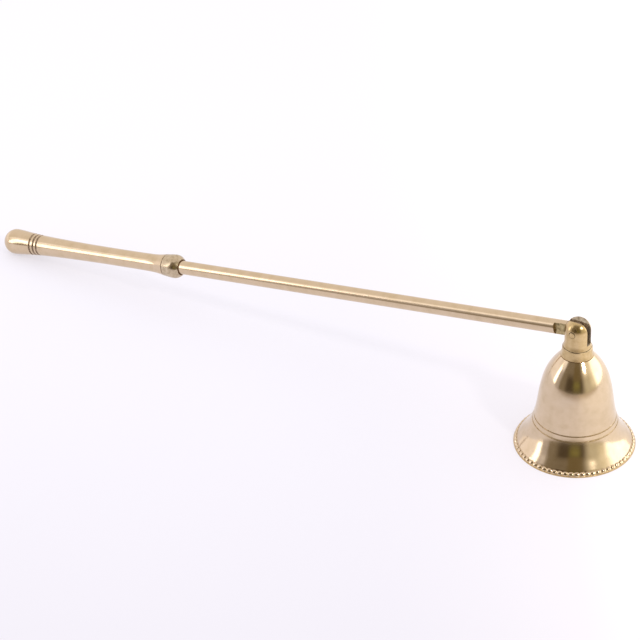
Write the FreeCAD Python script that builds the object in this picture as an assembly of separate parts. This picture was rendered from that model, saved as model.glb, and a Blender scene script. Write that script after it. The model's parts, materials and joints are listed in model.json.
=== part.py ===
import FreeCAD, Part
import math
import os

# Brass candle snuffer: a turned bell hangs from a slotted post on a hinge pin, at the end
# of a slim rod with a turned handle. Millimetres, +Z up. The snuffer lies at rest with the
# bell's rim and the handle's butt both on the plane z = 0. The rod runs along X, from the
# handle at -X to the bell at +X, and the hinge pin lies along Y.

Vector = FreeCAD.Vector

# Driving dimensions
RIM_DIAMETER = 50.8
CROWN_HEIGHT = 44.5
PIN_HEIGHT = 56.4
ROD_DIAMETER = 6.15
REACH = 297.8                # pin centre to the centre of the handle's round butt
BUTT_RADIUS = 5.86

# Bell
RIM_RADIUS = RIM_DIAMETER / 2
LIP_HEIGHT = 0.45
LIP_EDGE = 0.15              # small bevels on the lip's two outer edges
BEAD_COUNT = 66
BEAD_RADIUS = 0.8
BEAD_RING_RADIUS = RIM_RADIUS - 1.3
BEAD_HEIGHT = 1.1
FLARE_EDGE = (23.75, 2.2)    # radius and height of the skirt's lower edge, just above the beads
CROWN_THICKNESS = 3.2
CROWN_EDGE_RADIUS = 6.9
GROOVE_RINGS = ((17.15, 14.7), (17.78, 12.5))    # radius and height of each cut line
GROOVE_SECTION = 0.22
STUD_HOLE_RADIUS = 2.1

# Collar and hinge post
COLLAR_TOP = 48.8
COLLAR_BASE_RADIUS = 6.8
COLLAR_TOP_RADIUS = 6.05
POST_RADIUS = 5.4
POST_FOOT_RADIUS = 5.9
POST_FOOT_HEIGHT = 2.6
SLOT_WIDTH = 3.2
SLOT_FLOOR = 50.7
SLOT_BEVEL_START = PIN_HEIGHT + 4.05     # above this the slot's mouth opens at 45 degrees
STUD_RADIUS = 2.0

# Fastener inside the crown
WASHER_THICKNESS = 0.8
WASHER_RADIUS = 4.5
NUT_THICKNESS = 2.4
NUT_ACROSS_FLATS = 7.0
STUD_PROUD = 0.6

# Hinge
PIN_RADIUS = 1.25
PIN_CLEARANCE = 0.05
TONGUE_THICKNESS = 3.0
TONGUE_LENGTH = 9.75         # pin centre to the step where the rod is round again

# Handle, as distances from the pin along the rod
FERRULE_START = 201.0
FERRULE_WIDEST = 204.8
ROD_SHOULDER = 206.5
GRIP_START = 209.4
SPIGOT_RADIUS = 2.5
SPIGOT_END = 228.0
GRIP_GROOVES = (283.2, 285.1, 287.2)
GRIP_GROOVE_SECTION = 0.42

ROD_RADIUS = ROD_DIAMETER / 2
ROD_SLOPE = math.asin((PIN_HEIGHT - BUTT_RADIUS) / REACH)
LENGTH = REACH * math.cos(ROD_SLOPE) + BUTT_RADIUS + RIM_RADIUS
BELL_X = LENGTH / 2 - RIM_RADIUS


def line(start, end):
    return Part.LineSegment(start, end).toShape()


def lines_through(points):
    return [line(start, end) for start, end in zip(points, points[1:])]


def curve(points, tangents=None):
    spline = Part.BSplineCurve()
    if tangents:
        spline.interpolate(points, InitialTangent=tangents[0], FinalTangent=tangents[1])
    else:
        spline.interpolate(points)
    return spline.toShape()


def profile_on_z(pairs):
    """Points of a profile given as (radius, height)."""
    return [Vector(radius, 0, height) for radius, height in pairs]


def profile_on_x(pairs):
    """Points of a profile given as (distance along the rod, radius)."""
    return [Vector(distance, radius, 0) for distance, radius in pairs]


def revolve(edges, axis):
    face = Part.Face(Part.Wire(edges))
    return face.revolve(Vector(0, 0, 0), axis, 360)


def turned(pairs, axis):
    """A solid of revolution from a closed outline of straight lines."""
    points = profile_on_z(pairs) if axis.z else profile_on_x(pairs)
    return revolve(lines_through(points + points[:1]), axis)


Z_AXIS = Vector(0, 0, 1)
X_AXIS = Vector(1, 0, 0)
Y_AXIS = Vector(0, 1, 0)


def bell():
    """Thin bell with a flared skirt, a beaded rim and a flat drilled crown."""
    crown_inside = CROWN_HEIGHT - CROWN_THICKNESS
    outer = profile_on_z([(CROWN_EDGE_RADIUS, CROWN_HEIGHT), (9.3, 41.6), (11.4, 38.5), (13.25, 34.5),
                          (14.5, 30.0), (15.4, 25.0), (16.1, 20.0), (16.8, 16.0), (17.75, 12.5),
                          (18.85, 9.5), (20.5, 6.5), (22.2, 4.2), FLARE_EDGE])
    inner = profile_on_z([(22.8, 0), (19.6, 3.7), (17.7, 7.9), (16.3, 13.0), (14.9, 19.5), (13.9, 25.4),
                          (12.8, 31.0), (10.9, 35.6), (8.2, 39.1), (5.4, crown_inside)])
    lip = profile_on_z([(BEAD_RING_RADIUS, LIP_HEIGHT), (RIM_RADIUS - LIP_EDGE, LIP_HEIGHT),
                        (RIM_RADIUS, LIP_HEIGHT - LIP_EDGE), (RIM_RADIUS, LIP_EDGE),
                        (RIM_RADIUS - LIP_EDGE, 0)])
    hole_top = Vector(STUD_HOLE_RADIUS, 0, CROWN_HEIGHT)
    hole_bottom = Vector(STUD_HOLE_RADIUS, 0, crown_inside)
    edges = [line(hole_top, outer[0]), curve(outer)]
    edges += lines_through([outer[-1]] + lip + [inner[0]])
    edges.append(curve(inner))
    edges += lines_through([inner[-1], hole_bottom, hole_top])
    shell = revolve(edges, Z_AXIS)
    for radius, height in GROOVE_RINGS:
        shell = shell.cut(Part.makeTorus(radius, GROOVE_SECTION, Vector(0, 0, height), Z_AXIS))
    return shell.fuse(rim_beads())


def rim_beads():
    """Ring of small round beads, half sunk in the step between the skirt and the lip."""
    beads = []
    for index in range(BEAD_COUNT):
        angle = 2 * math.pi * index / BEAD_COUNT
        centre = Vector(BEAD_RING_RADIUS * math.cos(angle), BEAD_RING_RADIUS * math.sin(angle), BEAD_HEIGHT)
        beads.append(Part.makeSphere(BEAD_RADIUS, centre))
    return beads


def crown_collar():
    """Cone-shaped ring between the bell's crown and the foot of the post."""
    return turned([(STUD_HOLE_RADIUS, CROWN_HEIGHT), (COLLAR_BASE_RADIUS, CROWN_HEIGHT),
                   (COLLAR_TOP_RADIUS, COLLAR_TOP), (STUD_HOLE_RADIUS, COLLAR_TOP)], Z_AXIS)


def post_blank():
    """The hinge post before it is slotted: stud, spreading foot, shank and round top."""
    stud_end = stud_bottom()
    dome_top = PIN_HEIGHT + POST_RADIUS
    halfway = POST_RADIUS * math.sqrt(0.5)
    dome_side = Vector(halfway, 0, PIN_HEIGHT + halfway)
    foot_middle = POST_RADIUS + 0.35 * (POST_FOOT_RADIUS - POST_RADIUS)
    foot = profile_on_z([(POST_FOOT_RADIUS, COLLAR_TOP), (foot_middle, COLLAR_TOP + POST_FOOT_HEIGHT / 2),
                         (POST_RADIUS, COLLAR_TOP + POST_FOOT_HEIGHT)])
    shank_top = Vector(POST_RADIUS, 0, PIN_HEIGHT)
    dome = Part.Arc(shank_top, dome_side, Vector(0, 0, dome_top)).toShape()
    stud = profile_on_z([(0, stud_end), (STUD_RADIUS, stud_end), (STUD_RADIUS, COLLAR_TOP)])
    edges = lines_through(stud + [foot[0]]) + [curve(foot), line(foot[-1], shank_top)]
    edges += [dome, line(Vector(0, 0, dome_top), stud[0])]
    return revolve(edges, Z_AXIS)


def stud_bottom():
    return CROWN_HEIGHT - CROWN_THICKNESS - WASHER_THICKNESS - NUT_THICKNESS - STUD_PROUD


def pin_bar(radius):
    half_length = POST_RADIUS + 1
    return Part.makeCylinder(radius, 2 * half_length, Vector(0, -half_length, PIN_HEIGHT), Y_AXIS)


def slot():
    """Straight slot along X for the rod's tongue, with a mouth bevelled at 45 degrees."""
    half_length = COLLAR_TOP_RADIUS + 1
    half_width = SLOT_WIDTH / 2
    mouth_top = PIN_HEIGHT + POST_RADIUS + 1
    mouth_half_width = half_width + mouth_top - SLOT_BEVEL_START
    section = [(half_width, SLOT_FLOOR), (half_width, SLOT_BEVEL_START), (mouth_half_width, mouth_top)]
    section += [(-y, z) for y, z in reversed(section)]
    corners = [Vector(-half_length, y, z) for y, z in section + section[:1]]
    return Part.Face(Part.makePolygon(corners)).extrude(Vector(2 * half_length, 0, 0))


def hinge_clevis():
    """Post with a slot for the rod's tongue and a cross hole for the pin."""
    return post_blank().cut(slot()).cut(pin_bar(PIN_RADIUS))


def hinge_pin():
    """Rivet pin, dressed flush with the round faces of the post's two ears."""
    return pin_bar(PIN_RADIUS).common(post_blank())


def crown_washer():
    top = CROWN_HEIGHT - CROWN_THICKNESS
    bottom = top - WASHER_THICKNESS
    return turned([(STUD_HOLE_RADIUS, bottom), (WASHER_RADIUS, bottom),
                   (WASHER_RADIUS, top), (STUD_HOLE_RADIUS, top)], Z_AXIS)


def crown_nut():
    """Thin hexagon nut that holds post, collar and bell together."""
    bottom = stud_bottom() + STUD_PROUD
    corner = NUT_ACROSS_FLATS / math.sqrt(3)
    corners = []
    for index in range(7):
        angle = math.radians(60 * index)
        corners.append(Vector(corner * math.cos(angle), corner * math.sin(angle), bottom))
    hexagon = Part.Face(Part.makePolygon(corners)).extrude(Vector(0, 0, NUT_THICKNESS))
    return hexagon.cut(Part.makeCylinder(STUD_RADIUS, NUT_THICKNESS, Vector(0, 0, bottom), Z_AXIS))


def rod():
    """Round rod: a flat tongue with a rounded eye at the hinge, a threaded spigot in the grip."""
    half_tongue = TONGUE_THICKNESS / 2
    eye_radius = ROD_RADIUS
    spigot_chamfer = 0.5
    bar = turned([(TONGUE_LENGTH, 0), (TONGUE_LENGTH, ROD_RADIUS), (ROD_SHOULDER, ROD_RADIUS),
                  (ROD_SHOULDER, SPIGOT_RADIUS), (SPIGOT_END - spigot_chamfer, SPIGOT_RADIUS),
                  (SPIGOT_END, SPIGOT_RADIUS - spigot_chamfer), (SPIGOT_END, 0)], X_AXIS)
    blade_corner = Vector(0, -half_tongue, -eye_radius)
    blade = Part.makeBox(TONGUE_LENGTH, TONGUE_THICKNESS, 2 * eye_radius, blade_corner)
    round_bar = Part.makeCylinder(ROD_RADIUS, TONGUE_LENGTH, Vector(0, 0, 0), X_AXIS)
    eye = Part.makeCylinder(eye_radius, TONGUE_THICKNESS, Vector(0, -half_tongue, 0), Y_AXIS)
    ball = Part.makeSphere(ROD_RADIUS)
    hole = Part.makeCylinder(PIN_RADIUS + PIN_CLEARANCE, 2 * ROD_RADIUS, Vector(0, -ROD_RADIUS, 0), Y_AXIS)
    tongue = blade.common(round_bar).fuse(eye.common(ball)).cut(hole)
    return bar.fuse(tongue).removeSplitter()


def handle_ferrule():
    """Bulb where the rod enters the handle, clamped between the rod's shoulder and the grip."""
    bore = ROD_RADIUS + 0.025
    spigot_bore = SPIGOT_RADIUS + 0.05
    mouth = 0.25
    nose = profile_on_x([(FERRULE_START, bore + mouth), (201.9, 4.35), (203.2, 5.1), (FERRULE_WIDEST, 5.36),
                         (207.0, 5.22), (GRIP_START - 0.2, 4.96)])
    joint = profile_on_x([(GRIP_START - 0.2, 4.96), (GRIP_START, 4.7), (GRIP_START, spigot_bore),
                          (ROD_SHOULDER, spigot_bore), (ROD_SHOULDER, bore),
                          (FERRULE_START + mouth, bore), (FERRULE_START, bore + mouth)])
    edges = [curve(nose)] + lines_through(joint)
    return revolve(edges, X_AXIS)


def grip_radius_points():
    return profile_on_x([(GRIP_START + 0.2, 4.9), (214.0, 4.3), (220.0, 4.02), (235.0, 3.95), (252.0, 4.02),
                         (268.0, 4.28), (280.0, 4.64), (288.0, 5.1), (294.0, 5.66), (REACH, BUTT_RADIUS)])


def handle_grip():
    """Turned grip: waisted, swelling to a round butt, with three cut rings near the butt."""
    outline = grip_radius_points()
    bore_end = SPIGOT_END + 1
    halfway = BUTT_RADIUS * math.sqrt(0.5)
    dome_side = Vector(REACH + halfway, halfway, 0)
    tip = Vector(REACH + BUTT_RADIUS, 0, 0)
    dome = Part.Arc(outline[-1], dome_side, tip).toShape()
    inside = profile_on_x([(REACH + BUTT_RADIUS, 0), (bore_end, 0), (bore_end, SPIGOT_RADIUS),
                           (GRIP_START, SPIGOT_RADIUS), (GRIP_START, 4.7), (GRIP_START + 0.2, 4.9)])
    start_slope = Vector(4.6, -0.6, 0)
    swell = curve(outline, (start_slope, X_AXIS))
    edges = [swell, dome] + lines_through(inside)
    grip = revolve(edges, X_AXIS)
    for distance in GRIP_GROOVES:
        radius = radius_at(swell, distance)
        grip = grip.cut(Part.makeTorus(radius, GRIP_GROOVE_SECTION, Vector(distance, 0, 0), X_AXIS))
    return grip


def radius_at(edge, distance):
    """Height of a profile edge above the axis, at a distance along it."""
    ruler = line(Vector(distance, 0, 0), Vector(distance, RIM_RADIUS, 0))
    return edge.distToShape(ruler)[1][0][0].y


def on_bell(shape):
    shape.translate(Vector(BELL_X, 0, 0))
    return shape


def on_rod(shape):
    """From distances along +X to the rod's place: from the pin, down to the handle at -X."""
    shape.rotate(Vector(0, 0, 0), Z_AXIS, 180)
    shape.rotate(Vector(0, 0, 0), Y_AXIS, -math.degrees(ROD_SLOPE))
    shape.translate(Vector(BELL_X, 0, PIN_HEIGHT))
    return shape


def main():
    os.makedirs("parts", exist_ok=True)
    pieces = {
        "bell": on_bell(bell()),
        "crown_collar": on_bell(crown_collar()),
        "hinge_clevis": on_bell(hinge_clevis()),
        "crown_washer": on_bell(crown_washer()),
        "crown_nut": on_bell(crown_nut()),
        "hinge_pin": on_bell(hinge_pin()),
        "rod": on_rod(rod()),
        "handle_ferrule": on_rod(handle_ferrule()),
        "handle_grip": on_rod(handle_grip()),
    }
    for name, shape in pieces.items():
        solid = shape if shape.ShapeType == "Solid" else shape.Solids[0]
        print(name, len(shape.Solids), "valid", solid.isValid(), "volume", round(solid.Volume, 1))
        solid.exportStep("parts/" + name + ".step")
    slope = round(math.degrees(ROD_SLOPE), 2)
    print("length", round(LENGTH, 2), "bell axis x", round(BELL_X, 2), "slope", slope)


main()
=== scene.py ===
import json
import math

import bmesh
import bpy
import numpy as np
from mathutils import Matrix, Vector


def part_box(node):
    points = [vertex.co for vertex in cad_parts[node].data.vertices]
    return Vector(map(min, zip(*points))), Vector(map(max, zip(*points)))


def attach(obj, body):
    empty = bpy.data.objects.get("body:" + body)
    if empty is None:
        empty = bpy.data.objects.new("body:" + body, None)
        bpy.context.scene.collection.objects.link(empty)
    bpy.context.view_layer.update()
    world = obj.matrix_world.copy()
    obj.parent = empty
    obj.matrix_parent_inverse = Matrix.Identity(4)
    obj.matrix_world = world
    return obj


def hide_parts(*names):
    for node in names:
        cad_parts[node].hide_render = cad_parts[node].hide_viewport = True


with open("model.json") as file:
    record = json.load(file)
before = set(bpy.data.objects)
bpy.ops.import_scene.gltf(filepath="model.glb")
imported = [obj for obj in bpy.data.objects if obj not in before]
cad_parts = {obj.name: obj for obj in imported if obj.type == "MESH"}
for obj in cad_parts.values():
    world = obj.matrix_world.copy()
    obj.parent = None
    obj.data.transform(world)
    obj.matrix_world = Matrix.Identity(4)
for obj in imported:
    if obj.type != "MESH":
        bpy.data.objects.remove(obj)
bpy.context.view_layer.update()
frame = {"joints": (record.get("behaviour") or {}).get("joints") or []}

# A brass candle snuffer. Metres, in the frame of the CAD model: +X towards the bell, Y along
# the hinge pin. MM turns the millimetres of the drawings into metres.
MM = 0.001

# Places and main sizes, read from the frame
PIN = Vector(frame["joints"][0]["pos_m"])
BELL_LOW, BELL_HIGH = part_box("bell")
GRIP_LOW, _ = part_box("handle_grip")
COLLAR_LOW, COLLAR_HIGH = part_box("crown_collar")
WASHER_LOW, WASHER_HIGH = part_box("crown_washer")
NUT_LOW, NUT_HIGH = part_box("crown_nut")
STUD_LOW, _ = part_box("hinge_clevis")
BELL_AXIS = Vector(((BELL_LOW.x + BELL_HIGH.x) / 2, 0, 0))
RIM_RADIUS = (BELL_HIGH.x - BELL_LOW.x) / 2
CROWN = BELL_HIGH.z
COLLAR_BASE_RADIUS = (COLLAR_HIGH.x - COLLAR_LOW.x) / 2

# Handle side. Places along the rod are distances from the pin.
BUTT_RADIUS = 5.86 * MM
ROD_RADIUS = 3.075 * MM
TONGUE_HALF = 1.5 * MM
TONGUE_LENGTH = 9.75 * MM
FERRULE_START = 201.0 * MM
FERRULE_END = 209.4 * MM
ROD_SHOULDER = 206.5 * MM     # where the rod narrows to its spigot
SPIGOT_RADIUS = 2.5 * MM
SPIGOT_END = 228 * MM
JOINT_RADIUS = 4.62 * MM      # at the bottom of the line between ferrule and grip
BUTT_CUTS = (282.5 * MM, 284.4 * MM, 286.5 * MM)
BUTT_CUT_RADIUS = 0.5 * MM
BUTT = Vector((GRIP_LOW.x + BUTT_RADIUS, 0, BUTT_RADIUS))
REACH = (BUTT - PIN).length
ROD_DIRECTION = (BUTT - PIN).normalized()

# Hinge
POST_RADIUS = 5.4 * MM
POST_FOOT_HEIGHT = 2.6 * MM
STUD_RADIUS = 2.0 * MM
STUD_HOLE_RADIUS = 2.1 * MM
SLOT_HALF = 1.6 * MM
SLOT_FLOOR = 50.7 * MM
SLOT_BEVEL_START = PIN.z + 4.05 * MM
FAR_BEVEL_START = PIN.z + 3.15 * MM       # on the +Y ear, which is filed lower
PIN_RADIUS = 1.25 * MM
HOLE_RADIUS = 1.43 * MM       # worn upwards, so that a gap shows over the pin, its walls painted dark as shade
HOLE_RAISED = 0.18 * MM

# Bell
CROWN_WALL = 3.2 * MM
CROWN_EDGE_RADIUS = 6.9 * MM
CROWN_INNER_RADIUS = 5.4 * MM
RIM_INNER_RADIUS = 22.8 * MM
BELL_CUTS = (14.7 * MM, 12.5 * MM)
BELL_CUT_RADIUS = 0.28 * MM
FLARE_EDGE = (23.75 * MM, 2.2 * MM)
LIP_HEIGHT = 0.52 * MM

# Beads on the rim
BEAD_COUNT = 66
SEGMENTS_PER_BEAD = 14
BEAD_HEIGHT = 1.25 * MM
BEAD_RING_RADIUS = RIM_RADIUS - 0.85 * MM
BEAD_PROUD = 0.38 * MM
BEAD_HALF_LENGTH = 0.92 * MM
BEAD_TILT = math.radians(43)
BEAD_ENDS = (2.6, 2.2)        # powers that round off the two ends of a bead
GAP_SIZE = 0.48               # of the section between two beads, against that of a bead
GAP_DEPTH = 0.3 * MM


# ---------------------------------------------------------------- profiles

SAME_POINT = 0.002 * MM       # points closer than this are one point
ON_AXIS = 0.001 * MM          # a radius below this is a point on the axis


def smooth_curve(points, spacing=0.35 * MM, start_slope=None, end_slope=None):
    """A curve without kinks through points: cubic splines over the length along them."""
    knots = np.array(points, float)
    steps = np.hypot(*np.diff(knots, axis=0).T)
    along = np.concatenate([[0], np.cumsum(steps)])
    size = len(knots)
    system = np.zeros((size, size))
    right = np.zeros((size, 2))
    for i in range(1, size - 1):
        system[i, i - 1] = steps[i - 1]
        system[i, i] = 2 * (steps[i - 1] + steps[i])
        system[i, i + 1] = steps[i]
        right[i] = 6 * ((knots[i + 1] - knots[i]) / steps[i] - (knots[i] - knots[i - 1]) / steps[i - 1])
    for end, slope in ((0, start_slope), (size - 1, end_slope)):
        system[end, end] = 1
        if slope is not None:
            inner = 1 if end == 0 else size - 2
            step = steps[0] if end == 0 else steps[-1]
            sign = 1 if end == 0 else -1
            system[end, end] = 2 * step
            system[end, inner] = step
            chord = sign * (knots[inner] - knots[end]) / step
            right[end] = 6 * sign * (chord - np.array(slope))
    bend = np.linalg.solve(system, right)
    count = max(2, int(round(along[-1] / spacing)) + 1)
    result = []
    for place in np.linspace(0, along[-1], count):
        i = min(int(np.searchsorted(along, place, side="right")) - 1, size - 2)
        h = steps[i]
        a = (along[i + 1] - place) / h
        b = (place - along[i]) / h
        point = a * knots[i] + b * knots[i + 1]
        point = point + ((a ** 3 - a) * bend[i] + (b ** 3 - b) * bend[i + 1]) * h * h / 6
        result.append((float(point[0]), float(point[1])))
    return result


def straight(start, end, spacing=0.6 * MM):
    """Points on a straight line, at least spacing apart."""
    count = max(1, int(math.dist(start, end) / spacing))
    return [(start[0] + (end[0] - start[0]) * i / count, start[1] + (end[1] - start[1]) * i / count)
            for i in range(count + 1)]


def arc(centre, radius, start, end, count):
    """Points on an arc; angles in degrees, counted from the axis of the first coordinate."""
    points = []
    for i in range(count + 1):
        angle = math.radians(start + (end - start) * i / count)
        points.append((centre[0] + radius * math.cos(angle), centre[1] + radius * math.sin(angle)))
    return points


def in_mm(pairs):
    return [(a * MM, b * MM) for a, b in pairs]


def join(*runs):
    """One outline from several runs of points, with no point twice."""
    outline = []
    for run in runs:
        for point in run:
            if not outline or math.dist(outline[-1], point) > SAME_POINT:
                outline.append(point)
    return outline


# ---------------------------------------------------------------- turned meshes

class Section:
    """A stretch of a turned outline with one finish."""

    def __init__(self, points, finish):
        self.points = points
        self.finish = finish


def outline_of(sections):
    """The points of all sections in one list, and the finish of each stretch between two points."""
    points = []
    finishes = []
    for section in sections:
        for point in section.points:
            if points and math.dist(points[-1], point) < SAME_POINT:
                continue
            if points:
                finishes.append(section.finish)
            points.append(point)
    return points, finishes


def turned_mesh(name, sections, segments, axis_first=False, radius_at=None):
    """Turns an outline of (radius, height), or (distance, radius) if axis_first, into a closed mesh.

    radius_at(index, angle, point) may move an outline point at an angle, for beads or flats."""
    points, finishes = outline_of(sections)
    if axis_first:
        points = [(radius, distance) for distance, radius in points]
    verts, rings = turned_points(points, segments, radius_at)
    pairs = list(zip(range(len(points) - 1), range(1, len(points))))
    if len(rings[0]) > 1:
        pairs.append((len(points) - 1, 0))
        finishes = finishes + [sections[0].finish]
    faces = []
    corners = []
    face_finish = []
    along = 0.0
    for (low, high), finish in zip(pairs, finishes):
        step = math.dist(points[low], points[high])
        band, band_corners = faces_between(rings[low], rings[high], segments, along / MM, (along + step) / MM)
        faces += band
        corners += band_corners
        face_finish += [finish] * segments
        along += step
    mesh = bpy.data.meshes.new(name)
    mesh.from_pydata(verts, [], faces)
    layer = mesh.uv_layers.new(name="turned")
    layer.data.foreach_set("uv", [value for face in corners for corner in face for value in corner])
    order = list(dict.fromkeys(face_finish))
    for finish in order:
        mesh.materials.append(MATERIALS[finish])
    mesh.polygons.foreach_set("material_index", [order.index(finish) for finish in face_finish])
    mesh.update()
    obj = linked(name, mesh)
    outward(obj)
    smooth_with_creases(obj)
    return obj


def turned_points(points, segments, radius_at):
    """Vertices of a turned outline of (radius, height), and the ring of them at each of its points."""
    verts = []
    rings = []
    for index, point in enumerate(points):
        if point[0] < ON_AXIS:
            rings.append([len(verts)])
            verts.append((0, 0, point[1]))
            continue
        ring = []
        for k in range(segments):
            angle = 2 * math.pi * k / segments
            radius, height = radius_at(index, angle, point) if radius_at else point
            ring.append(len(verts))
            verts.append((radius * math.cos(angle), radius * math.sin(angle), height))
        rings.append(ring)
    return verts, rings


def faces_between(a, b, segments, v0, v1):
    """Faces between two rings, either of which may be one point, and the UV corners of each."""
    faces = []
    corners = []
    for k in range(segments):
        n = (k + 1) % segments
        u0, u1 = k / segments, (k + 1) / segments
        if len(a) == 1:
            faces.append((a[0], b[n], b[k]))
            corners.append(((u0, v0), (u1, v1), (u0, v1)))
        elif len(b) == 1:
            faces.append((a[k], a[n], b[0]))
            corners.append(((u0, v0), (u1, v0), (u0, v1)))
        else:
            faces.append((a[k], a[n], b[n], b[k]))
            corners.append(((u0, v0), (u1, v0), (u1, v1), (u0, v1)))
    return faces, corners


def linked(name, data):
    """A new object with this data, in the scene."""
    obj = bpy.data.objects.new(name, data)
    bpy.context.scene.collection.objects.link(obj)
    return obj


def outward(obj):
    """Turns all faces outwards."""
    work = bmesh.new()
    work.from_mesh(obj.data)
    bmesh.ops.recalc_face_normals(work, faces=work.faces)
    work.to_mesh(obj.data)
    work.free()


def smooth_with_creases(obj, crease=30):
    """Smooth shading, with an edge kept sharp where faces meet at more than crease degrees."""
    limit = math.radians(crease)
    work = bmesh.new()
    work.from_mesh(obj.data)
    for face in work.faces:
        face.smooth = True
    for edge in work.edges:
        edge.smooth = len(edge.link_faces) != 2 or edge.calc_face_angle(0) < limit
    work.to_mesh(obj.data)
    work.free()
    obj.data.update()


def stand_on_bell_axis(obj):
    """Moves a mesh made around the Z axis to the bell's axis."""
    obj.data.transform(Matrix.Translation(BELL_AXIS))


def lay_along_rod(obj):
    """Turns a mesh made along +Z, with the pin at its origin, to lie along the rod."""
    across = Vector((0, 1, 0))
    upward = ROD_DIRECTION.cross(across)
    turn = Matrix((upward, across, ROD_DIRECTION)).transposed()
    if turn.determinant() < 0:
        turn = Matrix((-upward, across, ROD_DIRECTION)).transposed()
    obj.data.transform(Matrix.Translation(PIN) @ turn.to_4x4())


def box_mesh(name, low, high):
    """A cutter: a closed box between two corners."""
    work = bmesh.new()
    bmesh.ops.create_cube(work, size=1)
    for vert in work.verts:
        for i in range(3):
            vert.co[i] = low[i] if vert.co[i] < 0 else high[i]
    mesh = bpy.data.meshes.new(name)
    work.to_mesh(mesh)
    work.free()
    return linked(name, mesh)


def bar_mesh(name, radius, half_length, centre, segments=64):
    """A cutter: a closed round bar along Y."""
    work = bmesh.new()
    bmesh.ops.create_cone(work, cap_ends=True, segments=segments, radius1=radius, radius2=radius,
                          depth=2 * half_length)
    turn = Matrix.Rotation(math.pi / 2, 4, "X")
    bmesh.ops.transform(work, matrix=Matrix.Translation(centre) @ turn, verts=work.verts)
    mesh = bpy.data.meshes.new(name)
    work.to_mesh(mesh)
    work.free()
    return linked(name, mesh)


def cut(obj, cutters):
    """Cuts the cutters out of a piece and deletes them."""
    for cutter in cutters:
        change = obj.modifiers.new("cut", "BOOLEAN")
        change.operation = "DIFFERENCE"
        change.solver = "EXACT"
        change.object = cutter
    bake_modifiers(obj)
    for cutter in cutters:
        mesh = cutter.data
        bpy.data.objects.remove(cutter)
        bpy.data.meshes.remove(mesh)


def bake_modifiers(obj):
    """Replaces a piece's mesh by what its modifiers make of it."""
    bpy.context.view_layer.update()
    depsgraph = bpy.context.evaluated_depsgraph_get()
    result = bpy.data.meshes.new_from_object(obj.evaluated_get(depsgraph))
    old = obj.data
    obj.modifiers.clear()
    obj.data = result
    bpy.data.meshes.remove(old)


def soften_edges(obj, width, crease=35):
    """Rounds off the edges where faces meet at more than crease degrees."""
    change = obj.modifiers.new("soften", "BEVEL")
    change.width = width
    change.segments = 2
    change.limit_method = "ANGLE"
    change.angle_limit = math.radians(crease)
    change.use_clamp_overlap = True
    bake_modifiers(obj)


def add_finish(obj, finish):
    """Adds a finish to a piece and gives its number for the faces."""
    obj.data.materials.append(MATERIALS[finish])
    return len(obj.data.materials) - 1


# ---------------------------------------------------------------- materials

def ramp(nodes, stops):
    """A colour ramp through (place, colour) stops."""
    node = nodes.new("ShaderNodeValToRGB")
    elements = node.color_ramp.elements
    while len(elements) < len(stops):
        elements.new(0.5)
    for element, (place, colour) in zip(elements, stops):
        element.position = place
        element.color = (*colour, 1)
    return node


def noise(nodes, links, source, scale, detail, stretch=(1, 1, 1)):
    mapping = nodes.new("ShaderNodeMapping")
    mapping.inputs["Scale"].default_value = stretch
    links.new(source, mapping.inputs["Vector"])
    node = nodes.new("ShaderNodeTexNoise")
    node.inputs["Scale"].default_value = scale
    node.inputs["Detail"].default_value = detail
    links.new(mapping.outputs["Vector"], node.inputs["Vector"])
    return node.outputs["Fac"]


def value_range(nodes, links, source, low, high):
    """Spreads the usual range of a noise between two values."""
    node = nodes.new("ShaderNodeMapRange")
    node.inputs["From Min"].default_value = 0.3
    node.inputs["From Max"].default_value = 0.7
    node.inputs["To Min"].default_value = low
    node.inputs["To Max"].default_value = high
    links.new(source, node.inputs["Value"])
    return node.outputs["Result"]


LINE_SCALE = 1.6
LINE_STRETCH = (0.6, 9.0, 1.0)        # long around the piece, short along it
LINE_SHARE = 0.35                     # of the turning lines in the colour; the clouds have the rest


def brass(name, tones, gloss, lines_depth, blotch_scale):
    """Brass with cloudy tarnish, uneven gloss and fine lines left by turning.

    tones: darkest, middle and lightest colour; gloss: lowest and highest roughness."""
    material = bpy.data.materials.new(name)
    material.use_nodes = True
    nodes, links = material.node_tree.nodes, material.node_tree.links
    shader = nodes["Principled BSDF"]
    shader.inputs["Metallic"].default_value = 1.0
    place = nodes.new("ShaderNodeTexCoord")
    clouds = noise(nodes, links, place.outputs["Object"], blotch_scale, 4.0)
    lines = noise(nodes, links, place.outputs["UV"], LINE_SCALE, 5.0, LINE_STRETCH)
    mixed = nodes.new("ShaderNodeMath")
    mixed.operation = "MULTIPLY_ADD"
    mixed.inputs[1].default_value = LINE_SHARE
    links.new(lines, mixed.inputs[0])
    faded = nodes.new("ShaderNodeMath")
    faded.operation = "MULTIPLY"
    faded.inputs[1].default_value = 1 - LINE_SHARE
    links.new(clouds, faded.inputs[0])
    links.new(faded.outputs[0], mixed.inputs[2])
    colours = ramp(nodes, ((0.32, tones[0]), (0.5, tones[1]), (0.68, tones[2])))
    links.new(mixed.outputs[0], colours.inputs["Fac"])
    links.new(colours.outputs["Color"], shader.inputs["Base Color"])
    links.new(value_range(nodes, links, mixed.outputs[0], gloss[1], gloss[0]), shader.inputs["Roughness"])
    bump = nodes.new("ShaderNodeBump")
    bump.inputs["Strength"].default_value = 1.0
    bump.inputs["Distance"].default_value = lines_depth
    links.new(lines, bump.inputs["Height"])
    links.new(bump.outputs["Normal"], shader.inputs["Normal"])
    return material


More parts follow.
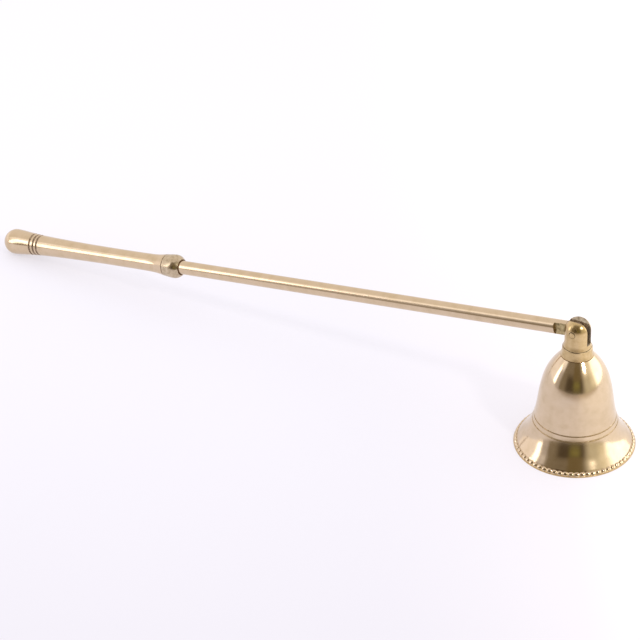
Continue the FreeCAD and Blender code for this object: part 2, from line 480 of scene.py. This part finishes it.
# Darkest, middle and lightest tone of each finish
POLISHED = ((0.59, 0.46, 0.30), (0.65, 0.51, 0.35), (0.68, 0.54, 0.385))
GOLDEN = ((0.45, 0.32, 0.15), (0.58, 0.425, 0.22), (0.65, 0.49, 0.28))
SPECKLED = ((0.38, 0.30, 0.20), (0.56, 0.45, 0.31), (0.66, 0.54, 0.40))
AGED = ((0.34, 0.245, 0.135), (0.50, 0.375, 0.22), (0.60, 0.46, 0.30))
OLIVE = ((0.11, 0.085, 0.04), (0.42, 0.33, 0.17), (0.55, 0.45, 0.25))
DULL = ((0.20, 0.14, 0.07), (0.36, 0.27, 0.14), (0.48, 0.37, 0.21))
FILED = ((0.16, 0.115, 0.08), (0.50, 0.42, 0.31), (0.74, 0.665, 0.54))
BROWN = ((0.20, 0.135, 0.09), (0.33, 0.24, 0.17), (0.46, 0.35, 0.26))
DARK = ((0.03, 0.018, 0.009), (0.07, 0.045, 0.022), (0.14, 0.09, 0.045))

# Tones, lowest and highest roughness, depth of the turning lines, and scale of the clouds
MATERIALS = {
    "polished": brass("polished_brass", POLISHED, (0.10, 0.17), 0.003 * MM, 260.0),
    "satin": brass("satin_brass", POLISHED, (0.18, 0.28), 0.006 * MM, 260.0),
    "golden": brass("golden_brass", GOLDEN, (0.17, 0.27), 0.006 * MM, 420.0),
    "speckled": brass("speckled_brass", SPECKLED, (0.16, 0.28), 0.01 * MM, 750.0),
    "aged": brass("aged_brass", AGED, (0.25, 0.4), 0.01 * MM, 500.0),
    "olive": brass("olive_brass", OLIVE, (0.3, 0.5), 0.03 * MM, 1000.0),
    "dull": brass("dull_brass", DULL, (0.35, 0.55), 0.03 * MM, 700.0),
    "filed": brass("filed_brass", FILED, (0.4, 0.6), 0.04 * MM, 800.0),
    "brown": brass("brown_brass", BROWN, (0.4, 0.6), 0.03 * MM, 900.0),
    # Dark: tarnish where the collar meets its neighbours, and painted shade in the pin hole.
    "dark": brass("tarnished_and_shaded_brass", DARK, (0.45, 0.65), 0.03 * MM, 900.0),
}


# ---------------------------------------------------------------- bell side

def groove(centre, direction, radius):
    """A small half-round cut line: its points across the surface, from one lip to the other."""
    along = Vector(direction).normalized()
    inward = Vector((along.y, -along.x))
    if inward.x > 0:
        inward = -inward
    points = []
    for i in range(7):
        angle = math.pi * i / 6
        offset = -math.cos(angle) * along * radius + math.sin(angle) * inward * radius
        points.append((centre[0] + offset.x, centre[1] + offset.y))
    return points


def bell():
    """Bell with a flat crown, a waist, two cut lines, a flared skirt and a rim of small beads."""
    crown_inside = CROWN - CROWN_WALL
    outer = smooth_curve([(CROWN_EDGE_RADIUS, CROWN)]
                         + in_mm([(9.3, 41.6), (11.4, 38.5), (13.25, 34.5), (14.5, 30.0), (15.4, 25.0),
                                  (16.1, 20.0), (16.8, 16.0), (17.8, 12.3), (18.95, 9.4), (20.5, 6.5),
                                  (22.2, 4.2)])
                         + [FLARE_EDGE], spacing=0.3 * MM)
    inner = smooth_curve([(RIM_INNER_RADIUS, 0)]
                         + in_mm([(19.6, 3.7), (17.7, 7.9), (16.3, 13.0), (14.9, 19.5), (13.9, 25.4),
                                  (12.8, 31.0), (10.9, 35.6), (8.2, 39.1)])
                         + [(CROWN_INNER_RADIUS, crown_inside)], spacing=0.7 * MM)
    crown_top = straight((STUD_HOLE_RADIUS, CROWN), (CROWN_EDGE_RADIUS, CROWN))
    crown_bottom = straight((CROWN_INNER_RADIUS, crown_inside), (STUD_HOLE_RADIUS, crown_inside))
    sections = [Section(crown_top, "polished")]
    sections += grooved(outer, BELL_CUTS, BELL_CUT_RADIUS)
    before_beads = len(outline_of(sections)[0])
    beads = bead_outline()
    edge = 0.12 * MM
    lip = join([(RIM_RADIUS - edge, LIP_HEIGHT)], arc((RIM_RADIUS - edge, LIP_HEIGHT - edge), edge, 90, 0, 3),
               arc((RIM_RADIUS - edge, edge), edge, 0, -90, 3))
    sections += [Section(beads, "polished"), Section(lip, "golden"),
                 Section(straight((RIM_RADIUS - edge, 0), (RIM_INNER_RADIUS, 0)), "satin"),
                 Section(inner, "dull"), Section(crown_bottom, "dull")]

    def beaded(index, angle, point):
        """Draws the beads' arc in, and sinks it a little, between one bead and the next."""
        if not before_beads <= index < before_beads + len(beads):
            return point
        pitch = 2 * math.pi / BEAD_COUNT
        from_middle = abs((angle / pitch + 0.5) % 1 - 0.5) * 2
        size = max((1 - from_middle ** BEAD_ENDS[0]) ** (1 / BEAD_ENDS[1]), GAP_SIZE)
        sunk = GAP_DEPTH * (1 - size)
        radius, height = point
        return (BEAD_RING_RADIUS - sunk * math.cos(BEAD_TILT) + (radius - BEAD_RING_RADIUS) * size,
                BEAD_HEIGHT - sunk * math.sin(BEAD_TILT) + (height - BEAD_HEIGHT) * size)

    obj = turned_mesh("bell_turned", sections, BEAD_COUNT * SEGMENTS_PER_BEAD, radius_at=beaded)
    stand_on_bell_axis(obj)
    return obj


def bead_outline():
    """Section of a bead: a long arc that follows the slope of the skirt and ends above the lip."""
    proud = Vector((math.cos(BEAD_TILT), math.sin(BEAD_TILT)))
    down = Vector((proud.y, -proud.x))
    centre = Vector((BEAD_RING_RADIUS, BEAD_HEIGHT))
    points = []
    for out, along in arc((0, 0), 1, -90, 70, 12):
        point = centre + proud * BEAD_PROUD * out + down * BEAD_HALF_LENGTH * along
        points.append((point.x, point.y))
    return points


def grooved(points, heights, radius):
    """Splits a falling outline of (radius, height) at cut lines, and puts a small groove at each."""
    sections = []
    run = []
    waiting = sorted(heights, reverse=True)
    for point, following in zip(points, points[1:] + [points[-1]]):
        if waiting and point[1] <= waiting[0] + radius:
            height = waiting.pop(0)
            direction = (following[0] - point[0], following[1] - point[1])
            share = (height - point[1]) / (following[1] - point[1])
            centre = (point[0] + direction[0] * share, height)
            ring = groove(centre, direction, radius)
            sections.append(Section(run + [ring[0]], "polished"))
            sections.append(Section(ring, "aged"))
            run = [ring[-1]]
            skip_until = height - radius
            continue
        if sections and run and point[1] > skip_until:
            continue
        run.append(point)
    sections.append(Section(run, "polished"))
    return sections


def crown_collar():
    """Cone-shaped ring with a softened edge, tarnished where it meets its neighbours."""
    base, top = CROWN + 0.02 * MM, COLLAR_HIGH.z - 0.02 * MM
    inner = STUD_HOLE_RADIUS
    wide = COLLAR_BASE_RADIUS
    narrow = COLLAR_BASE_RADIUS - 0.75 * MM
    side = smooth_curve([(wide - 0.02 * MM, base + 0.25 * MM), (wide - 0.3 * MM, base + 1.5 * MM),
                         (narrow + 0.12 * MM, top - 0.25 * MM)], spacing=0.2 * MM)
    sections = [Section(straight((inner, base), (wide - 0.25 * MM, base)), "dark"),
                Section([(wide - 0.25 * MM, base), (wide - 0.02 * MM, base + 0.25 * MM)], "aged"),
                Section(side, "golden"),
                Section([side[-1], (narrow - 0.15 * MM, top)], "aged"),
                Section(straight((narrow - 0.15 * MM, top), (inner, top)), "dark")]
    obj = turned_mesh("collar_turned", sections, 160)
    stand_on_bell_axis(obj)
    return obj


def post_outline():
    """Stud, flared foot, straight shank and round top."""
    foot_height = COLLAR_HIGH.z
    shank_start = foot_height + POST_FOOT_HEIGHT
    edge = 0.3 * MM
    foot = smooth_curve([(5.86 * MM, foot_height + 0.2 * MM), (5.58 * MM, foot_height + 1.3 * MM),
                         (POST_RADIUS, shank_start)], spacing=0.2 * MM, end_slope=(0, 1))
    shank = straight((POST_RADIUS, shank_start), (POST_RADIUS, PIN.z), spacing=0.3 * MM)
    dome = arc((0, PIN.z), POST_RADIUS, 0, 90, 34)
    dome[-1] = (0, PIN.z + POST_RADIUS)
    stud_end = [(0, STUD_LOW.z), (STUD_RADIUS - edge, STUD_LOW.z), (STUD_RADIUS, STUD_LOW.z + edge)]
    stud_side = straight((STUD_RADIUS, STUD_LOW.z + edge), (STUD_RADIUS, foot_height))
    return [Section(stud_end, "dull"), Section(stud_side, "dull"),
            Section([(STUD_RADIUS, foot_height), (5.7 * MM, foot_height), foot[0]], "aged"),
            Section(foot, "golden"), Section(shank, "golden"), Section(dome, "golden")]


def slot_cutter():
    """A bar along X with the slot's section, which opens at 45 degrees at the top of each ear."""
    half_length = 8 * MM
    top = PIN.z + 8 * MM
    near_side = [(-SLOT_HALF - top + SLOT_BEVEL_START, top), (-SLOT_HALF, SLOT_BEVEL_START),
                 (-SLOT_HALF, SLOT_FLOOR)]
    far_side = [(SLOT_HALF, SLOT_FLOOR), (SLOT_HALF, FAR_BEVEL_START),
                (SLOT_HALF + top - FAR_BEVEL_START, top)]
    section = near_side + far_side
    verts = [(PIN.x + side * half_length, y, z) for side in (-1, 1) for y, z in section]
    count = len(section)
    faces = [tuple(range(count)), tuple(range(2 * count - 1, count - 1, -1))]
    faces += [(i, count + i, count + (i + 1) % count, (i + 1) % count) for i in range(count)]
    mesh = bpy.data.meshes.new("slot_cutter")
    mesh.from_pydata(verts, [], faces)
    obj = linked("slot_cutter", mesh)
    outward(obj)
    return obj


def hinge_clevis():
    """Round-topped post, slotted for the rod and drilled for the pin."""
    obj = turned_mesh("post_turned", post_outline(), 144)
    stand_on_bell_axis(obj)
    hole = bar_mesh("hole_cutter", HOLE_RADIUS, 8 * MM, PIN + Vector((0, 0, HOLE_RAISED)))
    cut(obj, [slot_cutter(), hole])
    soften_edges(obj, 0.09 * MM)
    paint_slot(obj)
    smooth_with_creases(obj, 28)
    return obj


# A face lies on a plane if its normal's share along the plane's is over SQUARE_ON, and it is this close
SQUARE_ON = 0.98
ON_PLANE = 0.05 * MM
ON_BEVEL = 0.03 * MM


def paint_slot(obj):
    """Gives the slot and its bevelled mouth a filed finish, and paints the pin hole's walls dark as painted
    shade.
    """
    dark = add_finish(obj, "dark")
    filed = add_finish(obj, "filed")
    for face in obj.data.polygons:
        wall = abs(face.normal.y) > SQUARE_ON and abs(face.center.y) < SLOT_HALF + ON_PLANE
        floor = abs(face.normal.z) > SQUARE_ON and abs(face.center.z - SLOT_FLOOR) < ON_PLANE
        bevel_start = FAR_BEVEL_START if face.center.y > 0 else SLOT_BEVEL_START
        opening = abs(face.center.y) - SLOT_HALF - (face.center.z - bevel_start)
        mouth = abs(opening) < ON_BEVEL and face.center.z > bevel_start
        from_hole = math.hypot(face.center.x - PIN.x, face.center.z - PIN.z - HOLE_RAISED)
        # Painted shade: the walls of the pin hole, in the gap round the pin, get the dark finish.
        if from_hole < HOLE_RADIUS + 0.02 * MM:
            face.material_index = dark
        elif wall or floor or mouth:
            face.material_index = filed


def hinge_pin():
    """Rivet pin with flat ends and softened edges, almost flush with the ears."""
    half_length = POST_RADIUS - 0.08 * MM
    edge = 0.08 * MM
    flat = PIN_RADIUS - edge
    halfway = flat * 0.6
    low_end = join([(0, -half_length), (halfway, -half_length)],
                   arc((flat, -half_length + edge), edge, -90, 0, 4))
    side = straight((PIN_RADIUS, -half_length + edge), (PIN_RADIUS, half_length - edge))
    high_end = join(arc((flat, half_length - edge), edge, 0, 90, 4),
                    [(halfway, half_length), (0, half_length)])
    sections = [Section(low_end, "golden"), Section(side, "dull"), Section(high_end, "golden")]
    obj = turned_mesh("pin_turned", sections, 64)
    obj.data.transform(Matrix.Translation(PIN) @ Matrix.Rotation(math.pi / 2, 4, "X"))
    return obj


def crown_washer():
    """Flat washer with softened outer edges."""
    low, high = WASHER_LOW.z, WASHER_HIGH.z
    inner = STUD_HOLE_RADIUS
    outer = (WASHER_HIGH.x - WASHER_LOW.x) / 2
    edge = 0.15 * MM
    sections = [Section(join([(inner, low)], arc((outer - edge, low + edge), edge, -90, 0, 3),
                             arc((outer - edge, high - edge), edge, 0, 90, 3), [(inner, high)]), "dull")]
    obj = turned_mesh("washer_turned", sections, 96)
    stand_on_bell_axis(obj)
    return obj


def crown_nut():
    """Hexagon nut with the round chamfer of a real one at both faces."""
    low, high = NUT_LOW.z, NUT_HIGH.z
    half_flat = (NUT_HIGH.y - NUT_LOW.y) / 2
    corner = half_flat / math.cos(math.pi / 6)
    chamfer = 0.4 * MM
    face_radius = half_flat - 0.05 * MM
    bore = STUD_RADIUS
    sections = [Section([(bore, low), (face_radius, low), (corner, low + chamfer), (corner, high - chamfer),
                         (face_radius, high), (bore, high), (bore, low)], "dull")]

    def to_hexagon(_, angle, point):
        """Cuts a point of the outline back to the hexagon's flat."""
        from_flat = (angle - math.pi / 6) % (math.pi / 3)
        centred = min(from_flat, math.pi / 3 - from_flat)
        limit = half_flat / math.cos(centred)
        return (min(point[0], limit), point[1])

    obj = turned_mesh("nut_turned", sections, 96, radius_at=to_hexagon)
    stand_on_bell_axis(obj)
    return obj


# ---------------------------------------------------------------- handle side

def rod():
    """Round rod with a flat, unpolished tongue at the hinge and a spigot inside the handle."""
    tongue_area = TONGUE_LENGTH + 2 * MM
    ball = arc((0, 0), ROD_RADIUS, 180, 90, 24)
    ball[0] = (-ROD_RADIUS, 0)
    hinge_end = straight((0, ROD_RADIUS), (tongue_area, ROD_RADIUS), spacing=0.4 * MM)
    shank = straight((tongue_area, ROD_RADIUS), (ROD_SHOULDER, ROD_RADIUS), spacing=2 * MM)
    spigot = straight((ROD_SHOULDER, SPIGOT_RADIUS), (SPIGOT_END, SPIGOT_RADIUS), spacing=2 * MM)
    sections = [Section(ball, "polished"), Section(hinge_end, "polished"), Section(shank, "polished"),
                Section([(ROD_SHOULDER, ROD_RADIUS), (ROD_SHOULDER, SPIGOT_RADIUS)], "dull"),
                Section(spigot, "dull"),
                Section([(SPIGOT_END, SPIGOT_RADIUS), (SPIGOT_END, 0)], "dull")]
    obj = turned_mesh("rod_turned", sections, 112, axis_first=True)
    far = 6 * MM
    cutters = []
    for sign in (-1, 1):
        low_y, high_y = sorted((sign * TONGUE_HALF, sign * far))
        cutters.append(box_mesh("flat_cutter", (-far, low_y, -far), (far, high_y, TONGUE_LENGTH)))
    cutters.append(bar_mesh("eye_cutter", PIN_RADIUS + 0.05 * MM, far, Vector((0, 0, 0))))
    cut(obj, cutters)
    soften_edges(obj, 0.07 * MM)
    paint_tongue(obj)
    smooth_with_creases(obj, 28)
    lay_along_rod(obj)
    return obj


def paint_tongue(obj):
    """Gives the tongue stained flats, a dull step, and painted shade in brown on the edges of its round end
    where it lies in the slot.
    """
    olive = add_finish(obj, "olive")
    dull = add_finish(obj, "dull")
    brown = add_finish(obj, "brown")
    slot_shade_limit = POST_RADIUS - 1.1 * MM
    for face in obj.data.polygons:
        on_flat = abs(face.normal.y) > SQUARE_ON and face.center.z < TONGUE_LENGTH
        step = face.normal.z < -SQUARE_ON and abs(face.center.z - TONGUE_LENGTH) < ON_PLANE
        if on_flat:
            face.material_index = olive
        elif step:
            face.material_index = dull
        # Painted shade: faces of the rod's round end between the ears are coloured brown, as if the slot
        # shades them.
        elif face.center.z < slot_shade_limit:
            face.material_index = brown


def handle_ferrule():
    """Bulb at the mouth of the handle, with a brown line where it meets the rod and the grip."""
    start, end = FERRULE_START, FERRULE_END
    bore = ROD_RADIUS + 0.025 * MM
    mouth = 0.5 * MM
    mouth_edge = (start + 0.02 * MM, bore + mouth)
    joint_edge = (end - 0.25 * MM, 4.98 * MM)
    joint = end - 0.03 * MM
    spigot_bore = SPIGOT_RADIUS + 0.05 * MM
    nose = smooth_curve([mouth_edge] + in_mm([(201.9, 4.35), (203.2, 5.1), (204.8, 5.36), (207.0, 5.22)])
                        + [joint_edge], spacing=0.15 * MM)
    sections = [Section([(start + mouth, bore), mouth_edge], "brown"),
                Section(nose, "speckled"),
                Section([joint_edge, (joint, JOINT_RADIUS)], "brown"),
                Section([(joint, JOINT_RADIUS), (joint, spigot_bore), (ROD_SHOULDER, spigot_bore),
                         (ROD_SHOULDER, bore), (start + mouth, bore)], "dull")]
    obj = turned_mesh("ferrule_turned", sections, 160, axis_first=True)
    lay_along_rod(obj)
    return obj


def handle_grip():
    """Waisted grip with three brown cut rings and a round butt."""
    start = FERRULE_END
    knots = [(start + 0.25 * MM, 4.9 * MM)]
    knots += in_mm([(214.0, 4.3), (220.0, 4.02), (235.0, 3.95), (252.0, 4.02), (268.0, 4.28),
                    (280.0, 4.64), (288.0, 5.1), (294.0, 5.66)])
    knots.append((REACH, BUTT_RADIUS))
    outline = smooth_curve(knots, spacing=0.5 * MM, start_slope=(0.99, -0.13), end_slope=(1, 0))
    dome = arc((REACH, 0), BUTT_RADIUS, 90, 0, 40)
    dome[-1] = (REACH + BUTT_RADIUS, 0)
    bore_end = SPIGOT_END + 1 * MM
    sections = [Section([(bore_end, 0), (bore_end, SPIGOT_RADIUS), (start, SPIGOT_RADIUS),
                         (start, JOINT_RADIUS)], "dull"),
                Section([(start, JOINT_RADIUS), outline[0]], "brown")]
    sections += ringed(outline, BUTT_CUTS, BUTT_CUT_RADIUS)
    sections.append(Section(dome, "polished"))
    obj = turned_mesh("grip_turned", sections, 160, axis_first=True)
    lay_along_rod(obj)
    return obj


def ringed(points, places, radius):
    """Splits an outline of (distance, radius) at cut rings, and puts a half-round groove at each."""
    sections = []
    run = []
    waiting = list(places)
    skip_until = -1.0
    for index, point in enumerate(points):
        if waiting and point[0] >= waiting[0] - radius:
            place = waiting.pop(0)
            height = float(np.interp(place, [p[0] for p in points], [p[1] for p in points]))
            slope = (points[index + 1][1] - point[1]) / (points[index + 1][0] - point[0])
            ring = []
            for i in range(9):
                angle = math.pi * i / 8
                offset = -radius * math.cos(angle)
                ring.append((place + offset, height + slope * offset - radius * math.sin(angle)))
            sections.append(Section(run + [ring[0]], "polished"))
            sections.append(Section(ring, "brown"))
            run = [ring[-1]]
            skip_until = place + radius
        if point[0] > skip_until:
            run.append(point)
    sections.append(Section(run, "polished"))
    return sections


# ---------------------------------------------------------------- studio

# The camera stands in front of the bell and to its right, and looks down on the snuffer.
CAMERA_PLACE = Vector((0.52836, -0.78133, 0.65487))
CAMERA_AZIMUTH = math.radians(33.47)      # turned this far from looking along +Y towards -X
CAMERA_ELEVATION = math.radians(34.19)
CAMERA_ROLL = math.radians(-1.97)
LENS_MM = 146.2
SENSOR_MM = 36

# The way to the camera's right, and away from it, along the table
TO_THE_RIGHT = Vector((math.cos(CAMERA_AZIMUTH), math.sin(CAMERA_AZIMUTH), 0))
AWAY = Vector((-math.sin(CAMERA_AZIMUTH), math.cos(CAMERA_AZIMUTH), 0))


def camera():
    """The scene's camera, from its place, two angles, roll and lens."""
    data = bpy.data.cameras.new("camera")
    data.lens = LENS_MM
    data.sensor_width = SENSOR_MM
    data.clip_start = 0.01
    data.clip_end = 100
    obj = linked("camera", data)
    forward = AWAY * math.cos(CAMERA_ELEVATION) - Vector((0, 0, math.sin(CAMERA_ELEVATION)))
    up = TO_THE_RIGHT.cross(forward)
    rolled_right = TO_THE_RIGHT * math.cos(CAMERA_ROLL) + up * math.sin(CAMERA_ROLL)
    rolled_up = rolled_right.cross(forward)
    turn = Matrix((rolled_right, rolled_up, -forward)).transposed()
    obj.matrix_world = Matrix.Translation(CAMERA_PLACE) @ turn.to_4x4()
    bpy.context.scene.camera = obj


TABLE_HALF = 12.0
TABLE_REFLECTS = 0.45         # share of the paper's colour that the table reflects
TABLE_GLOWS = 0.69            # share that it gives off as painted light, as a table under an even soft light does


def floor():
    """A wide, plain, pale table with painted light and shade in its colour: lighter towards the window and
    darker towards the room.
    """
    half = TABLE_HALF
    corners = [(-half, -half, 0), (half, -half, 0), (half, half, 0), (-half, half, 0)]
    mesh = bpy.data.meshes.new("table")
    mesh.from_pydata(corners, [], [(0, 1, 2, 3)])
    material = bpy.data.materials.new("paper_with_painted_light")
    material.use_nodes = True
    nodes, links = material.node_tree.nodes, material.node_tree.links
    shader = nodes["Principled BSDF"]
    place = nodes.new("ShaderNodeTexCoord").outputs["Object"]
    grain = noise(nodes, links, place, 3.0, 2.0)
    # Painted light: lighter towards the window on the camera's right. Painted shade: darker towards the dim
    # room on the camera's side.
    painted_window_light = distance_along(nodes, links, place, TO_THE_RIGHT, BELL_AXIS, -0.10, 0.10)
    painted_room_shade = distance_along(nodes, links, place, AWAY, BELL_AXIS, -0.42, 0.30)
    tone = ramp(nodes, ((0.0, (0.715, 0.69, 0.745)), (0.45, (0.775, 0.74, 0.78)), (1.0, (0.97, 0.93, 0.93))))
    links.new(painted_window_light, tone.inputs["Fac"])
    room = ramp(nodes, ((0.0, (0.62, 0.57, 0.49)), (0.32, (0.98, 0.98, 0.98)), (1.0, (1.12, 1.13, 1.12))))
    links.new(painted_room_shade, room.inputs["Fac"])
    cloud = ramp(nodes, ((0.3, (0.985, 0.985, 0.985)), (0.7, (1.0, 1.0, 1.0))))
    links.new(grain, cloud.inputs["Fac"])
    # The painted light and shade, times the paper's grain, colour both what the table reflects and what it
    # gives off.
    both = multiplied(nodes, links, tone.outputs["Color"], room.outputs["Color"])
    paper = multiplied(nodes, links, both, cloud.outputs["Color"])
    links.new(scaled(nodes, links, paper, TABLE_REFLECTS), shader.inputs["Base Color"])
    links.new(scaled(nodes, links, paper, TABLE_GLOWS), shader.inputs["Emission Color"])
    shader.inputs["Emission Strength"].default_value = 1.0
    shader.inputs["Roughness"].default_value = 0.9
    shader.inputs["Specular IOR Level"].default_value = 0.0
    mesh.materials.append(material)
    obj = linked("table", mesh)


def distance_along(nodes, links, place, direction, origin, low, high):
    """0 to 1 as a point goes from low to high metres along a direction from an origin."""
    dot = nodes.new("ShaderNodeVectorMath")
    dot.operation = "DOT_PRODUCT"
    links.new(place, dot.inputs[0])
    dot.inputs[1].default_value = direction
    start = direction.dot(origin)
    node = nodes.new("ShaderNodeMapRange")
    node.interpolation_type = "SMOOTHSTEP"
    node.inputs["From Min"].default_value = start + low
    node.inputs["From Max"].default_value = start + high
    links.new(dot.outputs["Value"], node.inputs["Value"])
    return node.outputs["Result"]


def scaled(nodes, links, colour, share):
    """A share of a colour."""
    node = nodes.new("ShaderNodeVectorMath")
    node.operation = "SCALE"
    node.inputs["Scale"].default_value = share
    links.new(colour, node.inputs[0])
    return node.outputs["Vector"]


def multiplied(nodes, links, first, second):
    """One colour times another."""
    node = nodes.new("ShaderNodeMix")
    node.data_type = "RGBA"
    node.blend_type = "MULTIPLY"
    node.inputs["Factor"].default_value = 1.0
    links.new(first, node.inputs["A"])
    links.new(second, node.inputs["B"])
    return node.outputs["Result"]


class Sky:
    """The studio's surroundings: pale walls, a dark room behind the camera, and bright windows.

    Azimuths are in degrees to the right of the camera's own side, seen from the snuffer."""

    def __init__(self):
        world = bpy.data.worlds.new("studio")
        bpy.context.scene.world = world
        world.use_nodes = True
        self.nodes = world.node_tree.nodes
        self.links = world.node_tree.links
        self.background = self.nodes["Background"]
        self.direction = self.nodes.new("ShaderNodeTexCoord").outputs["Generated"]
        self.colour = None

    def math(self, operation, first, second=None):
        """A math node's result; each input is a number or another node's output."""
        node = self.nodes.new("ShaderNodeMath")
        node.operation = operation
        for socket, value in zip(node.inputs, (first, second)):
            if value is None:
                continue
            if isinstance(value, (int, float)):
                socket.default_value = value
            else:
                self.links.new(value, socket)
        return node.outputs[0]

    def angles(self, azimuth):
        """Azimuth and elevation, in degrees, of the direction looked at, from a given azimuth."""
        turn = self.nodes.new("ShaderNodeVectorRotate")
        turn.rotation_type = "Z_AXIS"
        camera_side = -math.pi / 2 + CAMERA_AZIMUTH
        turn.inputs["Angle"].default_value = -(camera_side + math.radians(azimuth))
        self.links.new(self.direction, turn.inputs["Vector"])
        split = self.nodes.new("ShaderNodeSeparateXYZ")
        self.links.new(turn.outputs["Vector"], split.inputs["Vector"])
        around = self.math("ARCTAN2", split.outputs["Y"], split.outputs["X"])
        height = self.math("ARCSINE", split.outputs["Z"])
        to_degrees = 180 / math.pi
        return self.math("MULTIPLY", around, to_degrees), self.math("MULTIPLY", height, to_degrees)

    def band(self, value, low, high, soft):
        """1 between low and high, falling to 0 across a soft edge at each side."""
        rise = self.smooth_step(value, low - soft / 2, low + soft / 2)
        fall = self.smooth_step(value, high + soft / 2, high - soft / 2)
        return self.math("MULTIPLY", rise, fall)

    def smooth_step(self, value, start, end):
        """0 before start and 1 after end, with a smooth rise between them."""
        node = self.nodes.new("ShaderNodeMapRange")
        node.interpolation_type = "SMOOTHSTEP"
        node.inputs["From Min"].default_value = start
        node.inputs["From Max"].default_value = end
        self.links.new(value, node.inputs["Value"])
        return node.outputs["Result"]

    def mix(self, factor, first, second):
        """The first colour at factor 0 and the second at 1."""
        node = self.nodes.new("ShaderNodeMix")
        node.data_type = "RGBA"
        self.links.new(factor, node.inputs["Factor"])
        for name, colour in (("A", first), ("B", second)):
            if isinstance(colour, tuple):
                node.inputs[name].default_value = (*colour, 1)
            else:
                self.links.new(colour, node.inputs[name])
        return node.outputs["Result"]

    def base(self, low, high):
        """Pale walls, from the horizon's colour to the ceiling's."""
        _, height = self.angles(0)
        self.colour = self.mix(self.smooth_step(height, 0, 60), low, high)

    def patch(self, azimuths, heights, colour, soft):
        """A patch of another colour over a range of azimuths and heights, with soft edges."""
        middle = sum(azimuths) / 2
        around, height = self.angles(middle)
        half = (azimuths[1] - azimuths[0]) / 2
        across = self.band(around, -half, half, soft[0])
        upward = self.band(height, heights[0], heights[1], soft[1])
        self.colour = self.mix(self.math("MULTIPLY", across, upward), self.colour, colour)

    def done(self, plain, even):
        """Plain pale to the camera, an even light to matt surfaces, and the studio to glossy ones."""
        ray = self.nodes.new("ShaderNodeLightPath").outputs
        lit = self.mix(ray["Is Diffuse Ray"], self.colour, even)
        seen = self.mix(ray["Is Camera Ray"], lit, plain)
        self.links.new(seen, self.background.inputs["Color"])


def studio():
    """Surroundings and lights. Each patch has azimuths, heights, a colour and the width of its edges."""
    sky = Sky()
    sky.base((1.0, 0.95, 0.91), (1.02, 0.96, 0.92))
    # Pale wall on the left, with a duller corner and a bright high window
    sky.patch((-150, -84), (-8, 24), (1.26, 1.2, 1.22), (24, 14))
    sky.patch((-84, -60), (-6, 36), (0.62, 0.58, 0.58), (7, 10))
    sky.patch((-98, -70), (30, 46), (1.45, 1.42, 1.45), (8, 8))
    # Dim room behind the camera, with a dark middle, a greenish patch and a brown one above it
    sky.patch((-67, 70), (-3, 66), (0.285, 0.24, 0.175), (8, 8))
    sky.patch((-44, 17), (-2, 32), (0.105, 0.08, 0.05), (18, 16))
    sky.patch((-16, 7), (5, 27), (0.28, 0.25, 0.085), (16, 26))
    sky.patch((-20, 14), (26, 48), (0.215, 0.165, 0.08), (10, 8))
    # Sunlit wall on the right, the lamp's glow on it, and the large window
    sky.patch((22, 72), (-3, 60), (0.76, 0.71, 0.54), (20, 12))
    sky.patch((50, 78), (4, 44), (1.15, 1.08, 0.84), (18, 14))
    sky.patch((31, 41), (36, 47), (1.2, 1.15, 1.0), (9, 9))
    sky.patch((68, 128), (-12, 29), (2.6, 2.6, 2.5), (20, 16))
    sky.done((0.98, 0.97, 0.985), (1.22, 1.21, 1.22))
    bpy.context.scene.world.cycles.sampling_method = "NONE"
    key_light()
    left_window()


def area_light(name, shape, size, energy, colour):
    """An area light; size in metres and energy in watts."""
    data = bpy.data.lights.new(name, "AREA")
    data.shape = shape
    data.size = size
    data.energy = energy
    data.color = colour
    return linked(name, data)


def left_window():
    """A low bright window on the left: the long white streak on the rod and the handle."""
    width, height = 0.17, 0.46
    sill = 0.06
    radiance = 2.3
    obj = area_light("window", "RECTANGLE", width, radiance * math.pi * width * height, (1.0, 0.97, 0.97))
    obj.data.size_y = height
    middle = Vector((0, 0, sill + height / 2))
    obj.location = BELL_AXIS - TO_THE_RIGHT * 0.9 - AWAY * 0.035 + middle
    to_bell = BELL_AXIS + middle - obj.location
    obj.rotation_euler = to_bell.to_track_quat("-Z", "Y").to_euler()
    obj.visible_camera = False


def key_light():
    """A small round lamp, high on the right of the camera: it gives the small round highlights."""
    distance = 1.4
    azimuth = math.radians(36)
    height = math.radians(42)
    side = -math.pi / 2 + CAMERA_AZIMUTH + azimuth
    towards = Vector((math.cos(side) * math.cos(height), math.sin(side) * math.cos(height), math.sin(height)))
    obj = area_light("key", "DISK", 0.15, 4.2, (1.0, 0.97, 0.93))
    obj.location = BELL_AXIS + towards * distance
    obj.rotation_euler = towards.to_track_quat("Z", "Y").to_euler()


# ---------------------------------------------------------------- assembly

def place(piece, body, node, slot):
    """Puts a piece on its body in place of its CAD node, and hides the node. The slot argument is not used.
    """
    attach(piece, body)
    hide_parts(node)


camera()
floor()
studio()

place(bell(), "bell_head", "bell", "polished_brass")
place(crown_collar(), "bell_head", "crown_collar", "polished_brass")
place(hinge_clevis(), "bell_head", "hinge_clevis", "polished_brass")
place(hinge_pin(), "bell_head", "hinge_pin", "polished_brass")
place(crown_washer(), "bell_head", "crown_washer", "plain_brass")
place(crown_nut(), "bell_head", "crown_nut", "plain_brass")
place(rod(), "handle", "rod", "polished_brass")
place(handle_ferrule(), "handle", "handle_ferrule", "polished_brass")
place(handle_grip(), "handle", "handle_grip", "polished_brass")

bpy.context.scene.view_settings.view_transform = "Standard"
